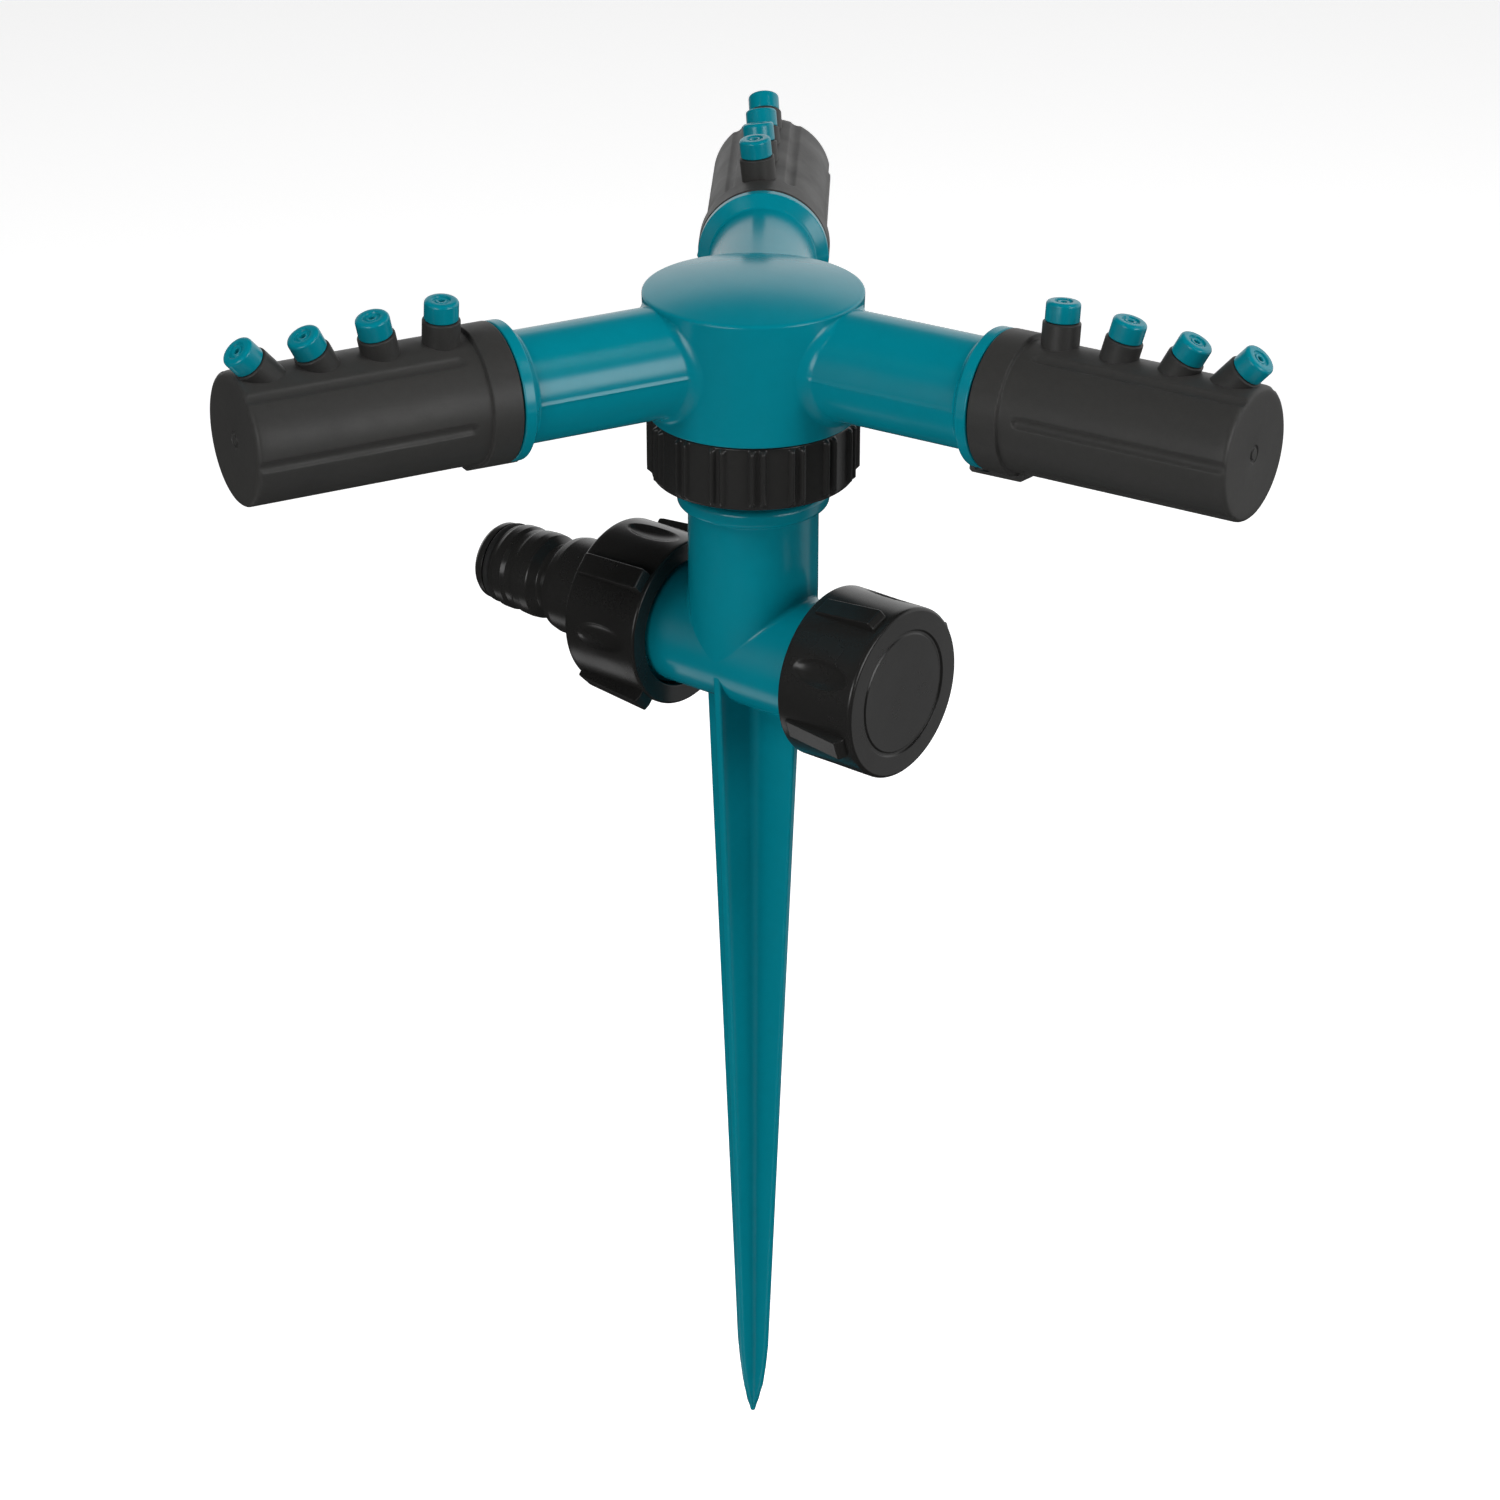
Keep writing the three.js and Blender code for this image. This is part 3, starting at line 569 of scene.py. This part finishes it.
def cross_outline(z):
    """One turn of the cross: from each fin's edge down its side, round the valley, up the next."""
    reach = fin_reach(z)
    taper = reach / FIN_TOP
    half_edge = min(0.65 + 0.3 * taper, reach * 0.6)
    half_root = half_edge + 0.25 * taper
    valley = min(0.3 + 1.6 * taper, (reach - half_root) * 0.8)
    ease = half_edge * 0.55
    fin = [Vector((reach, 0)), Vector((reach, half_edge - ease))]
    fin += [
        Vector((reach - ease + ease * math.sin(a), half_edge - ease + ease * math.cos(a)))
        for a in (math.radians(60), math.radians(30), 0)
    ]
    middle_out = half_root + valley
    for t in (0.66, 0.33):
        out = middle_out + (reach - middle_out) * t
        fin.append(Vector((out, half_root + (half_edge - half_root) * t)))
    turns = [math.radians(a) for a in (270, 261, 252, 243, 234, 225)]
    fin += [Vector((middle_out + valley * math.cos(a), middle_out + valley * math.sin(a))) for a in turns]
    back = [Vector((p.y, p.x)) for p in reversed(fin[1:-1])]
    quarter = fin + back
    points = []
    for k in range(4):
        spin = Matrix.Rotation(k * math.pi / 2, 2)
        points += [spin @ p for p in quarter]
    return points


bm = bmesh.new()
spike_top = pipe_z - 1
TAPER_RINGS = 30
levels = [spike_top - step * (spike_top - point_z) / TAPER_RINGS for step in range(TAPER_RINGS + 1)]
levels += [spike_tip_z + above for above in (15.5, 12.6, 10, 7.4, 5.6, 3.9, 2.7, 1.5, 0.7, 0)]
outline = cross_outline(levels[0])
ring = [bm.verts.new((p.x, p.y, levels[0])) for p in outline]
edges = [bm.edges.new((ring[i - 1], ring[i])) for i in range(len(ring))]
bm.faces.new(ring)
for level in levels[1:]:
    grown = bmesh.ops.extrude_edge_only(bm, edges=edges)["geom"]
    edges = [e for e in grown if isinstance(e, bmesh.types.BMEdge)]
    verts = [v for v in grown if isinstance(v, bmesh.types.BMVert)]
    places = cross_outline(level)
    for vert, place in zip(verts, places):
        vert.co = (place.x, place.y, level)
bmesh.ops.contextual_create(bm, geom=edges)
bmesh.ops.recalc_face_normals(bm, faces=bm.faces)
spike = bm
print("spike rings:", len(levels), "points per ring:", len(outline))

finished(
    gathered(riser, pipe, cap_thread, hose_thread, corner_cap_side, corner_hose_side, spike),
    "base_moulding",
    teal,
    "teal_plastic",
    "base",
    "base_body",
)

# %% [markdown]
# ## Hub: domed body with three arms
# The hub is a squat drum under a shallow dome.
# The body is spun. Each arm is spun too, lying along X. Its foot has to land on
# a round wall, so the rings of its foot are spun in place and then slid until
# each point rests on the drum, along a quarter circle that rounds the corner.
# The rounding shrinks towards the top, because the rim leaves it no room there.

# %% Hub body
HUB_R = 20.6
RIM_R = 21.5
RIM_HIGH = arm_z + 11.3
DOME_TOP = arm_z + 14.0
HUB_LOW = arm_z - 13.5


def hub_wall(z):
    """The drum widens slightly upwards, so that it slips out of its mould."""
    return HUB_R + (RIM_R - HUB_R) * (z - HUB_LOW) / (RIM_HIGH - HUB_LOW)


dome = []
for i in range(12):
    u = (1 - i / 12) * 0.955
    dome.append((RIM_R * u, RIM_HIGH + (DOME_TOP - RIM_HIGH) * (1 - u * u), 0))
hub_corners = (
    [
        (17, HUB_LOW, 0.2),
        (HUB_R, HUB_LOW, 0.4),
        (RIM_R, RIM_HIGH, 1.2),
    ]
    + dome
    + [(0, DOME_TOP, 0), (0, DOME_TOP - 3.2, 0), (18, RIM_HIGH - 3.2, 1), (18, arm_z - 12.3, 0.5)]
    + [(9.3, arm_z - 12.3, 0.3), (9.3, arm_z - 16.3, 0.3), (14.3, arm_z - 16.3, 0.2)]
    + [(14.3, arm_z - 23.2, 0.3), (17, arm_z - 23.2, 0.5)]
)
hub_body = spun(eased(hub_corners), 180)

# %% Arms
ARM_R = 10.8
RING_R = 13.4
FOOT_STEPS = 8
FOOT_ROOM = 10.7
foot_mark = 10.0
arm_corners = [(ARM_R, foot_mark + i / 10, 0) for i in range(FOOT_STEPS + 1)]
arm_corners += [(ARM_R, x, 0) for x in (26, 32, 38, 44)]
arm_corners += [
    (ARM_R, 50.4, 0.9),
    (RING_R, 52.2, 0.45),
    (RING_R, 54.4, 0.35),
    (10.2, 54.4, 0.1),
    (10.2, 56.5, 0.1),
    (10.7, 57.5, 0.3),
    (10.2, 58.5, 0.1),
    (10.2, 60.5, 0.1),
    (8.5, 60.5, 0.1),
    (8.5, 62.5, 0.1),
    (10.2, 62.5, 0.1),
    (9.8, 64.5, 0.3),
    (6.6, 64.5, 0.3),
    (6.6, 54.4, 0.4),
    (8.6, 50.6, 0.6),
    (8.6, 17, 0),
]
arm = moved(spun(eased(arm_corners), 160), along_x)


def corner_rounding(around):
    """How far the corner is rounded at this angle from the arm's top."""
    up = math.cos(around)
    room = FOOT_ROOM / up - ARM_R if up > 0.05 else 9
    return min(max(room * 0.7, 0.1), 1.9)


for vert in arm.verts:
    radius = math.hypot(vert.co.y, vert.co.z)
    around = math.atan2(vert.co.y, vert.co.z)
    if vert.co.x < foot_mark + 1 and radius > 9:
        t = (1 - (vert.co.x - foot_mark) / (FOOT_STEPS / 10)) * math.pi / 2
        ease = corner_rounding(around)
        radius = ARM_R + ease * (1 - math.cos(t))
        wall_r = hub_wall(arm_z + radius * math.cos(around)) - 0.04
        wall = math.sqrt(wall_r**2 - (radius * math.sin(around)) ** 2)
        x = wall + ease * (1 - math.sin(t))
        vert.co = (x, radius * math.sin(around), radius * math.cos(around))

# %% [markdown]
# The two halves of the mould meet along the arm's sides, and leave a hair-thin
# raised line there. The spin has a row of points exactly at each side, so
# lifting that row by a sixth of a millimetre is enough.

# %% Parting line
LINE_START, LINE_END = 19, 53.9
LINE_HEIGHT = 0.17
for vert in arm.verts:
    radius = math.hypot(vert.co.y, vert.co.z)
    outside = LINE_START < vert.co.x < LINE_END and radius > ARM_R - 0.3
    if outside and abs(vert.co.z) < 0.01:
        vert.co.y += math.copysign(LINE_HEIGHT, vert.co.y)

arms = []
for index in range(len(ARMS)):
    arms.append(moved(arm.copy(), arm_place(index)))
arm.free()
finished(gathered(hub_body, *arms), "hub_with_arms", teal, "teal_plastic", "rotor", "hub")

# %% [markdown]
# ## Ring nut
# The nut that holds the rotor down is turned by hand, so it has sixteen finger
# ribs, each a pair of fine ridges with a groove between. The spin is cut fine
# enough that the ridges can be raised by sliding points outwards.

# %% Ring nut
NUT_R = 19.9
nut_top = HUB_LOW - 0.3
nut_bottom = arm_z - 26.6
RIBS = 16
RIB_TURN = math.radians(-3.9)
RIB_LOW, RIB_HIGH = nut_bottom + 0.8, nut_top - 0.4
RIDGE_HEIGHT, RIDGE_HALF_WIDTH, RIDGE_OFFSET = 0.95, 0.72, 1.05
nut_corners = [
    (9.3, nut_bottom, 0.3),
    (NUT_R, nut_bottom, 1.5),
    (NUT_R, nut_bottom + 1.6, 0),
    (NUT_R, nut_bottom + 2.1, 0),
    (NUT_R, nut_bottom + 2.5, 0),
    (NUT_R, nut_bottom + 3.0, 0),
    (NUT_R, nut_bottom + 3.6, 0),
    (NUT_R, nut_bottom + 6.0, 0),
    (NUT_R, nut_top - 2.0, 0),
    (NUT_R, nut_top - 1.3, 0),
    (NUT_R, nut_top - 0.9, 0),
    (NUT_R, nut_top - 0.6, 0),
    (NUT_R, nut_top, 0.4),
    (17.3 + 0.8, nut_top, 0.2),
    (18.05, nut_bottom + 2.6, 0.3),
    (9.3, nut_bottom + 2.6, 0.2),
]
nut = spun(eased(nut_corners), 720)


def ridge_pair(across):
    """Height of the double ridge at this distance from the rib's middle, in millimetres."""
    sides = [(across - offset) / RIDGE_HALF_WIDTH for offset in (RIDGE_OFFSET, -RIDGE_OFFSET)]
    return RIDGE_HEIGHT * sum(max(0, 1 - side**2) for side in sides)


for vert in nut.verts:
    radius = math.hypot(vert.co.x, vert.co.y)
    if radius < NUT_R - 1 or not RIB_LOW < vert.co.z < RIB_HIGH:
        continue
    angle = math.atan2(vert.co.y, vert.co.x) - RIB_TURN
    pitch = math.tau / RIBS
    across = ((angle + pitch / 2) % pitch - pitch / 2) * NUT_R
    from_low = min(1, max(0, (vert.co.z - RIB_LOW) / 0.9))
    from_high = min(1, max(0, (RIB_HIGH - vert.co.z) / 0.5))
    rounded_ends = math.sqrt(from_low * (2 - from_low)) * math.sqrt(from_high * (2 - from_high))
    lift = ridge_pair(across) * rounded_ends
    vert.co.x *= 1 + lift / radius
    vert.co.y *= 1 + lift / radius
finished(nut, "ring_nut_ribbed", nut_black, "black_plastic", "rotor", "ring_nut", crisp=60)

# %% [markdown]
# ## Spray barrels
# Each arm ends in a barrel that snaps on and can be twisted to aim its row of
# jets. It is a thin cup with a collar, six shallow flutes for grip, a springy
# hook under the collar and four short stems for the jets. The cup is spun with
# closely spaced rings, and the flutes are pressed in wherever a round rod laid
# along the barrel would cut. The moulding gate leaves a small ring on the end.

# %% Barrel shell
BARREL_R = 12.65
COLLAR_R = 13.5
BARREL_BORE_R = 10.5
BARREL_START = 54.7
COLLAR_END = 60.6
BARREL_END = 106.8
FLUTE_START = 63.6
FLUTE_HALF_WIDTH = 1.16
ROD_R, ROD_LIFT = 1.5, 0.95
flute_rings = [61.6 + 0.3 * i for i in range(16)] + [67 + 1.2 * i for i in range(32)]
barrel_corners = [
    (BARREL_BORE_R, BARREL_START, 0.2),
    (COLLAR_R, BARREL_START, 0.35),
    (COLLAR_R, COLLAR_END, 0.3),
    (BARREL_R, COLLAR_END + 0.25, 0.25),
]
barrel_corners += [(BARREL_R, x, 0) for x in flute_rings]
barrel_corners += [
    (BARREL_R, BARREL_END, 1.1),
    (BARREL_BORE_R, BARREL_END, 0),
    (6, BARREL_END - 0.1, 0),
    (1.75, BARREL_END - 0.2, 0.1),
    (1.6, BARREL_END - 0.45, 0.1),
    (1.15, BARREL_END - 0.45, 0.1),
    (1.0, BARREL_END - 0.12, 0.12),
    (0, BARREL_END - 0.1, 0),
    (0, BARREL_END - 2.2, 0),
    (BARREL_BORE_R, BARREL_END - 2.2, 0.6),
]
barrel = moved(spun(eased(barrel_corners), 360), along_x)


def flute_floor(across, x):
    """Radius that a flute leaves at this distance to the side of its middle line."""
    lead = max(0, FLUTE_START + FLUTE_HALF_WIDTH - x)
    off = math.hypot(across, lead)
    if off >= FLUTE_HALF_WIDTH:
        return BARREL_R
    return BARREL_R + ROD_LIFT - math.sqrt(ROD_R**2 - off**2)


for vert in barrel.verts:
    radius = math.hypot(vert.co.y, vert.co.z)
    if radius < 11 or vert.co.x < FLUTE_START - 0.5:
        continue
    around = math.atan2(vert.co.y, vert.co.z)
    across = ((around % (math.pi / 3)) - math.pi / 6) * radius
    floor_r = flute_floor(across, vert.co.x)
    if radius > floor_r:
        vert.co.y *= floor_r / radius
        vert.co.z *= floor_r / radius

# %% [markdown]
# The hook is a flat tongue with an upturned claw. Its side view is drawn once,
# extruded to the tongue's width and bevelled all round.

# %% Snap hook


def bevelled_plate(outline, width, ease, segments=3):
    """An outline of (x, z) pairs extruded along Y, centred, with eased edges."""
    bm = bmesh.new()
    ring = [bm.verts.new((x, -width / 2, z)) for x, z in outline]
    face = bm.faces.new(ring)
    grown = bmesh.ops.extrude_face_region(bm, geom=[face])["geom"]
    far_side = [v for v in grown if isinstance(v, bmesh.types.BMVert)]
    bmesh.ops.translate(bm, verts=far_side, vec=(0, width, 0))
    bmesh.ops.recalc_face_normals(bm, faces=bm.faces)
    bmesh.ops.bevel(
        bm,
        geom=bm.edges[:],
        offset=ease,
        segments=segments,
        profile=0.5,
        affect="EDGES",
        material=-1,
        clamp_overlap=True,
    )
    return bm


hook_outline = [
    (62.0, -12.4),
    (55.2, -12.9),
    (54.2, -13.75),
    (51.5, -13.75),
    (51.1, -12.9),
    (50.25, -12.9),
    (50.2, -14.0),
    (50.8, -14.45),
    (61.2, -14.35),
    (62.0, -13.6),
]
hook = bevelled_plate(hook_outline, width=4.6, ease=0.18)

# %% [markdown]
# The stems fan out from the barrel's axis. Each is a stubby rod that carries a
# softer teal tip with the jet's orifice in its middle.

# %% Stems
NOZZLES = ((65.8, 0, 20.9), (75.1, 13, 20.4), (83.8, 27, 20.8), (90.5, 41, 23.6))
TIP_HEIGHT = 3.9
STEM_R, SOCKET_R, SOCKET_DEPTH = 3.6, 2.2, 3


def on_stem(at, tilt):
    return Matrix.Translation((at, 0, 0)) @ Matrix.Rotation(math.radians(tilt), 4, "Y")


stems = []
for at, tilt, height in NOZZLES:
    top = height - TIP_HEIGHT
    stem_corners = [
        (0, 8, 0),
        (STEM_R, 8, 0),
        (STEM_R, top, 0.3),
        (SOCKET_R, top, 0.15),
        (SOCKET_R, top - SOCKET_DEPTH, 0.1),
        (0, top - SOCKET_DEPTH, 0),
    ]
    stems.append(moved(spun(eased(stem_corners, 4), 56), on_stem(at, tilt)))
barrel = gathered(barrel, hook, *stems)
for index, name in enumerate(ARMS):
    placed = moved(barrel.copy(), barrel_place(index))
    finished(
        placed,
        f"spray_barrel_{name}",
        charcoal,
        "charcoal_plastic",
        f"barrel_body_{name}",
        f"barrel_{name}",
        crisp=50,
    )
barrel.free()

# %% Nozzle tips
TIP_R, PLUG_R = 3.25, 2.1
for index, name in enumerate(ARMS):
    for row, (at, tilt, height) in enumerate(NOZZLES):
        low = height - TIP_HEIGHT + 0.1
        tip_corners = [
            (0.5, low - SOCKET_DEPTH, 0),
            (PLUG_R, low - SOCKET_DEPTH, 0.2),
            (PLUG_R, low, 0.1),
            (TIP_R, low, 0.25),
            (TIP_R, height, 0.7),
            (1.75, height, 0.15),
            (1.6, height - 0.35, 0.1),
            (1.2, height - 0.35, 0.1),
            (1.05, height - 0.15, 0.12),
            (0.6, height - 0.2, 0.15),
            (0.5, height - 1.4, 0),
        ]
        tip = moved(spun(eased(tip_corners, 4), 56), barrel_place(index) @ on_stem(at, tilt))
        finished(
            tip,
            f"jet_tip_{name}{row + 1}",
            teal,
            "teal_plastic",
            f"barrel_body_{name}",
            f"nozzle_tip_{name}{row + 1}",
        )

# %% [markdown]
# ## End cap and union nut
# Both screw onto the pipe by hand, so both have four raised grips with an oval
# finger hollow between each two. The body is spun finely, the hollows are
# pressed in as the bowl of an ellipsoid, and the grips are bevelled wedges.

# %% Screwed collars
CAP_R = 17.3
COLLAR_GRIPS = 4
GRIP_EASE = 0.32
BOWL_CUT = 0.9


def with_hollows(body, middle_x, first_angle, length=12.5, width=5.6, depth=1.1):
    """Presses oval hollows, one between each two grips, into a body that lies along X."""
    spacing = math.tau / COLLAR_GRIPS
    rim = math.sqrt(1 - BOWL_CUT)
    for vert in body.verts:
        radius = math.hypot(vert.co.y, vert.co.z)
        if radius < CAP_R - 0.7:
            continue
        around = math.atan2(-vert.co.y, vert.co.z) - math.radians(first_angle)
        across = ((around + spacing / 2) % spacing - spacing / 2) * CAP_R
        spread = (2 * (vert.co.x - middle_x) / length) ** 2 + (2 * across / width) ** 2
        if spread < 1:
            sink = depth * (math.sqrt(1 - BOWL_CUT * spread) - rim) / (1 - rim)
            vert.co.y *= 1 - sink / radius
            vert.co.z *= 1 - sink / radius
    return body


def grips(outline, first_angle, width=4.4):
    """Bevelled wedges spread evenly round X."""
    wedges = []
    for i in range(COLLAR_GRIPS):
        turn = math.radians(first_angle + 360 / COLLAR_GRIPS * i)
        wedges.append(moved(bevelled_plate(outline, width, GRIP_EASE), Matrix.Rotation(turn, 4, "X")))
    return wedges


CAP_START, CAP_END = 19.8, 37.5
MOUTH_R = 13.25
cap_rings = [(CAP_R, 21 + 0.4 * i, 0) for i in range(38)]
cap_floor = CAP_END - 2.4
cap_corners = (
    [(0, cap_floor, 0), (MOUTH_R, cap_floor, 0.3)]
    + [(MOUTH_R, CAP_START, 0.3), (CAP_R, CAP_START, 0.5)]
    + cap_rings
    + [(CAP_R, CAP_END, 0.8), (12.9, CAP_END, 0.15), (12.6, CAP_END - 0.35, 0.15)]
    + [(12.2, CAP_END - 0.35, 0.15), (11.9, CAP_END - 0.12, 0.2)]
    + [(6, CAP_END - 0.2, 0), (0, CAP_END - 0.22, 0)]
)
cap = moved(spun(eased(cap_corners), 432), along_x)
with_hollows(cap, middle_x=28.9, first_angle=65)
cap_grip = [(21.2, 16.4), (21.8, 17.7), (35.0, 19.2), (36.0, 17.9), (36.0, 16.4)]
cap = gathered(cap, *grips(cap_grip, first_angle=20))
moved(cap, Matrix.Translation((0, 0, pipe_z)))
finished(cap, "end_cap_gripped", black, "black_plastic", "cap_shell", "end_cap", crisp=50)

# %% Union nut
UNION_START, UNION_END = -16.9, -35.2
union_rings = [(CAP_R, -18.2 - 0.4 * i, 0) for i in range(39)]
FLANGE_SEAT = UNION_END + 3
union_corners = (
    [(10.5, UNION_END, 0.4), (10.5, FLANGE_SEAT, 0.2), (MOUTH_R, FLANGE_SEAT, 0.3)]
    + [(MOUTH_R, UNION_START, 0.4), (CAP_R, UNION_START, 0.6)]
    + union_rings
    + [(CAP_R, UNION_END, 1.5)]
)
union = moved(spun(eased(union_corners), 432), along_x)
with_hollows(union, middle_x=-25.8, first_angle=0)
union_grip = [(-34.0, 16.4), (-34.0, 18.4), (-33.0, 18.65), (-17.9, 19.9), (-17.5, 18.6), (-17.5, 16.4)]
union = gathered(union, *grips(union_grip, first_angle=45))
moved(union, Matrix.Translation((0, 0, pipe_z)))
finished(union, "union_nut_gripped", black, "black_plastic", "hose_nut", "union_nut", crisp=50)

# %% [markdown]
# ## Hose nipple and its seal
# A hose coupler clicks over this nipple. Its groove catches the coupler's
# claws, and the O-ring near the tip seals. The outline is a run of gentle
# swellings, so the corners are eased more than elsewhere.

# %% Nipple
nipple_corners = [
    (5.6, 30, 0.3),
    (12.95, 30, 0.3),
    (12.95, 32.1, 0.3),
    (10.2, 32.1, 0.2),
    (10.2, 46, 0.6),
    (9.8, 47.7, 0.9),
    (7.6, 50.6, 0.7),
    (7.4, 51.4, 0.5),
    (8.9, 53.2, 0.9),
    (9.05, 55, 2),
    (8.9, 57.2, 0.6),
    (8.5, 58, 0.4),
    (8.5, 59.4, 0.4),
    (8.9, 60.4, 0.5),
    (8.85, 62.4, 0.6),
    (8.4, 63.4, 0.4),
    (8.35, 63.9, 0.12),
    (6.6, 63.9, 0.15),
    (6.6, 65.9, 0.15),
    (8.25, 65.9, 0.12),
    (8.1, 67.4, 0.6),
    (7.4, 68.4, 0.4),
    (5.6, 68.4, 0.3),
]
nipple = spun(eased(nipple_corners), 144)
moved(nipple, turned_round @ on_pipe)
finished(nipple, "hose_nipple_ringed", black, "black_plastic", "hose_tail", "hose_nipple")

RING_AT_R, RING_AT_X, CORD_R = 7.6, 64.9, 0.9
oring_turns = [i * math.tau / 24 for i in range(24)]
oring_corners = [(RING_AT_R + CORD_R * math.cos(a), RING_AT_X + CORD_R * math.sin(a), 0) for a in oring_turns]
oring = moved(spun(eased(oring_corners), 96), turned_round @ on_pipe)
finished(oring, "nose_oring_round", rubber, "black_rubber", "hose_tail", "nose_oring", crisp=80)

# %% [markdown]
# ## What stays inside
# The swivel, its washer, the seals and gaskets are hidden when the sprinkler is
# put together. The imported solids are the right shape, so they stay and only get
# their finish.

# %% Inner pieces
INNER = {
    acetal: ("swivel_spindle", "thrust_washer"),
    rubber: ("rotor_seal", "arm_oring_a", "arm_oring_b", "arm_oring_c", "cap_gasket", "hose_washer"),
}
for finish, nodes in INNER.items():
    for node in nodes:
        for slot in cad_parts[node].material_slots:
            slot.material = finish

# %% [markdown]
# ## Sizes
# The visual model should keep the imported model's size, so both boxes are printed.

# %% Print both boxes
new_box = [list(corner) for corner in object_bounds()]
for label, corners in (("CAD", cad_box), ("visual", new_box)):
    print(label, [round((high - low) / MM, 2) for low, high in zip(*corners)], "mm")
